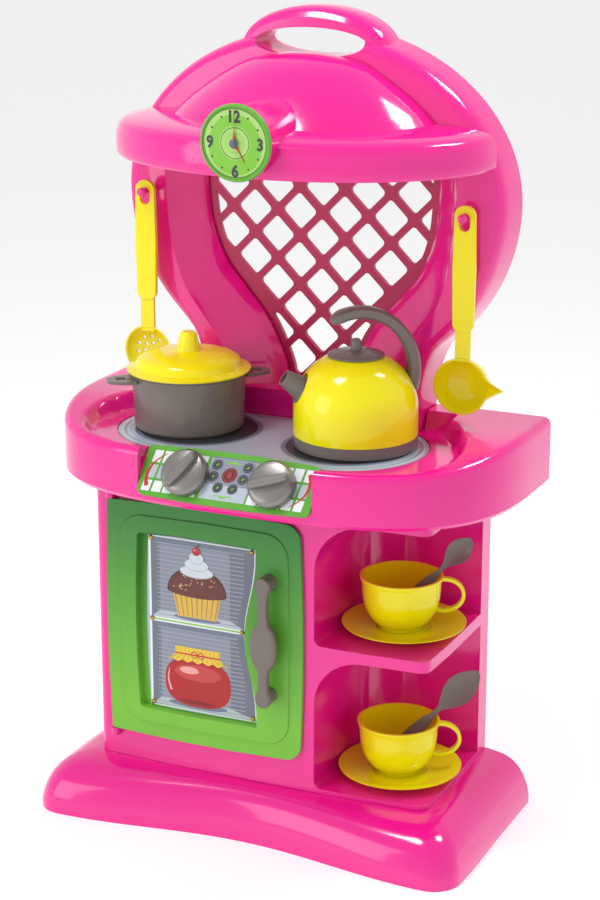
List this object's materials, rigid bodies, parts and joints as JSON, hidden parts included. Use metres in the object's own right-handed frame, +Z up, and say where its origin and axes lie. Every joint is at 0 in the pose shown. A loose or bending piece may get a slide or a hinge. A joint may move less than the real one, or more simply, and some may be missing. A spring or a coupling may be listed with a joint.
{
  "type": "toy kitchen",
  "caption": "Moulded toy kitchen with a hinged oven door, cup niches, hob and round hooded backboard, holding a pot, a kettle, cups on saucers and hanging utensils",
  "frame": {"origin": "middle of the bounding box on the floor", "axes": "+Z up, the front faces -Y, the oven door is at -X and the cup niches at +X"},
  "size_m": [0.498, 0.2494, 0.835],
  "materials": {
    "pink": "glossy pink moulding",
    "green": "glossy green moulding",
    "yellow": "glossy yellow moulding",
    "grey": "satin warm grey moulding",
    "silver": "satin silver grey moulding",
    "print": "printed glossy label card",
    "red": "red moulding",
    "steel": "dark bright steel",
    "brass": "aged brass"
  },
  "bodies": {
    "kitchen": {"base_plinth": "pink", "cabinet": "pink", "back_panel": "pink", "back_screw_1": "steel", "back_screw_2": "steel", "back_screw_3": "steel", "back_screw_4": "steel", "worktop": "pink", "hob_plate": "print", "control_panel": "green", "backboard": "pink", "lattice_grille": "pink", "canopy_hood": "pink", "clock_bezel": "green", "clock_dial": "green", "clock_hub": "steel", "peg_left": "pink", "peg_right": "pink", "hinge_socket_lower": "pink", "hinge_socket_upper": "pink", "hinge_pin_lower": "steel", "hinge_pin_upper": "steel"},
    "door": {"oven_door": "green", "door_picture": "print", "door_handle": "grey", "door_rivet_1": "brass", "door_rivet_2": "brass", "door_rivet_3": "brass", "door_rivet_4": "brass", "door_rivet_5": "brass", "door_rivet_6": "brass"},
    "knob_l": {"knob_left": "silver"},
    "knob_r": {"knob_right": "silver"},
    "hour": {"clock_hour_hand": "red"},
    "minute": {"clock_minute_hand": "red"},
    "pot_body": {"pot": "grey"},
    "pot_cover": {"pot_lid": "yellow"},
    "kettle": {"kettle_base": "grey", "kettle_body": "yellow", "kettle_spout": "grey", "kettle_handle": "grey"},
    "kettle_cover": {"kettle_lid": "grey"},
    "skimmer_body": {"skimmer": "yellow"},
    "ladle_body": {"ladle": "yellow"},
    "saucer_l": {"saucer_lower": "yellow"},
    "saucer_u": {"saucer_upper": "yellow"},
    "cup_l": {"cup_lower": "yellow"},
    "cup_u": {"cup_upper": "yellow"},
    "spoon_l": {"spoon_lower": "grey"},
    "spoon_u": {"spoon_upper": "grey"}
  },
  "joints": [
    {"name": "door_hinge", "type": "hinge", "parent": "kitchen", "child": "door", "pos_m": [-0.164, -0.0568, 0.087], "axis": [0, 0, -1], "range_deg": [0, 100]},
    {"name": "knob_l_turn", "type": "hinge", "parent": "kitchen", "child": "knob_l", "pos_m": [-0.053, -0.09823, 0.39326], "axis": [0, -0.809, 0.5878], "range_deg": [-150, 150]},
    {"name": "knob_r_turn", "type": "hinge", "parent": "kitchen", "child": "knob_r", "pos_m": [0.042, -0.09823, 0.39326], "axis": [0, -0.809, 0.5878], "range_deg": [-150, 150]},
    {"name": "hour_hand_turn", "type": "hinge", "parent": "kitchen", "child": "hour", "pos_m": [0, -0.0916, 0.724], "axis": [0, -1, 0], "continuous": true},
    {"name": "minute_hand_turn", "type": "hinge", "parent": "kitchen", "child": "minute", "pos_m": [0, -0.0928, 0.724], "axis": [0, -1, 0], "continuous": true},
    {"name": "pot_lift", "type": "slide", "parent": "kitchen", "child": "pot_body", "axis": [0, 0, 1], "range_m": [0, 0.06]},
    {"name": "pot_lid_lift", "type": "slide", "parent": "pot_body", "child": "pot_cover", "axis": [0, 0, 1], "range_m": [0, 0.05]},
    {"name": "kettle_lift", "type": "slide", "parent": "kitchen", "child": "kettle", "axis": [0, 0, 1], "range_m": [0, 0.06]},
    {"name": "kettle_lid_lift", "type": "slide", "parent": "kettle", "child": "kettle_cover", "axis": [0, 0, 1], "range_m": [0, 0.014]},
    {"name": "skimmer_swing", "type": "hinge", "parent": "kitchen", "child": "skimmer_body", "pos_m": [-0.177, 0.0568, 0.6419], "axis": [0, 1, 0], "range_deg": [-1, 18]},
    {"name": "ladle_swing", "type": "hinge", "parent": "kitchen", "child": "ladle_body", "pos_m": [0.177, 0.0568, 0.6419], "axis": [0, -1, 0], "range_deg": [-1, 18]},
    {"name": "saucer_lower_slide", "type": "slide", "parent": "kitchen", "child": "saucer_l", "axis": [0, -1, 0], "range_m": [0, 0.15]},
    {"name": "cup_lower_lift", "type": "slide", "parent": "saucer_l", "child": "cup_l", "axis": [0, 0, 1], "range_m": [0, 0.01]},
    {"name": "spoon_lower_draw", "type": "slide", "parent": "cup_l", "child": "spoon_l", "axis": [0.3482, 0.2492, 0.9037], "range_m": [0, 0.01]},
    {"name": "saucer_upper_slide", "type": "slide", "parent": "kitchen", "child": "saucer_u", "axis": [0, -1, 0], "range_m": [0, 0.15]},
    {"name": "cup_upper_lift", "type": "slide", "parent": "saucer_u", "child": "cup_u", "axis": [0, 0, 1], "range_m": [0, 0.01]},
    {"name": "spoon_upper_draw", "type": "slide", "parent": "cup_u", "child": "spoon_u", "axis": [0.2816, 0.2098, 0.9363], "range_m": [0, 0.01]}
  ]
}
